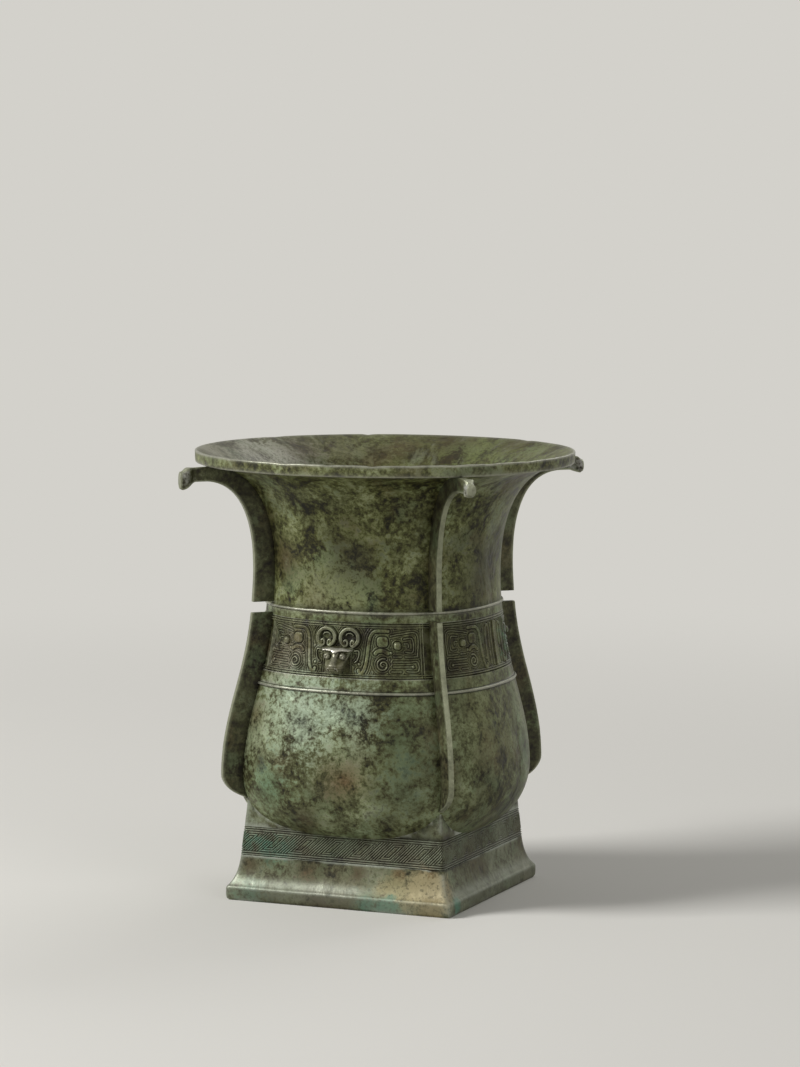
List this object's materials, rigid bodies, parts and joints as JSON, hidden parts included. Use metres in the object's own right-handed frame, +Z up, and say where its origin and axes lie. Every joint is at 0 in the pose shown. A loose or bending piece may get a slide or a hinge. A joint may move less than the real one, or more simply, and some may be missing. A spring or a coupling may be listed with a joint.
{
  "type": "bronze fang zun",
  "caption": "Patinated bronze wine vessel with a round flared mouth, hooked corner flanges, a pouch belly with an ornament band and animal heads, and a hollow square foot.",
  "frame": {"origin": "centre of the foot's base, on the surface the vessel stands on", "axes": "+Z up along the vessel's axis, -Y out of the front face that carries an animal head, foot sides along X and Y, flanges on the diagonals"},
  "size_m": [0.205, 0.205, 0.24],
  "materials": {
    "wall_bronze": "cast bronze under a mottled olive and sage green patina",
    "flange_bronze": "cast bronze under a dark olive patina with worn edges",
    "head_bronze": "cast bronze, worn bright on the high points",
    "spacer_bronze": "cast bronze, dull"
  },
  "bodies": {
    "root": {"mouth_and_neck": "wall_bronze", "belly": "wall_bronze", "square_foot": "wall_bronze", "neck_flange_front_right": "flange_bronze", "neck_flange_back_right": "flange_bronze", "neck_flange_back_left": "flange_bronze", "neck_flange_front_left": "flange_bronze", "belly_flange_front_right": "flange_bronze", "belly_flange_back_right": "flange_bronze", "belly_flange_back_left": "flange_bronze", "belly_flange_front_left": "flange_bronze", "animal_head_front": "head_bronze", "animal_head_back": "head_bronze", "band_ridge_right": "head_bronze", "band_ridge_left": "head_bronze", "floor_spacer_front_right": "spacer_bronze", "floor_spacer_back_right": "spacer_bronze", "floor_spacer_back_left": "spacer_bronze", "floor_spacer_front_left": "spacer_bronze"}
  },
  "joints": []
}
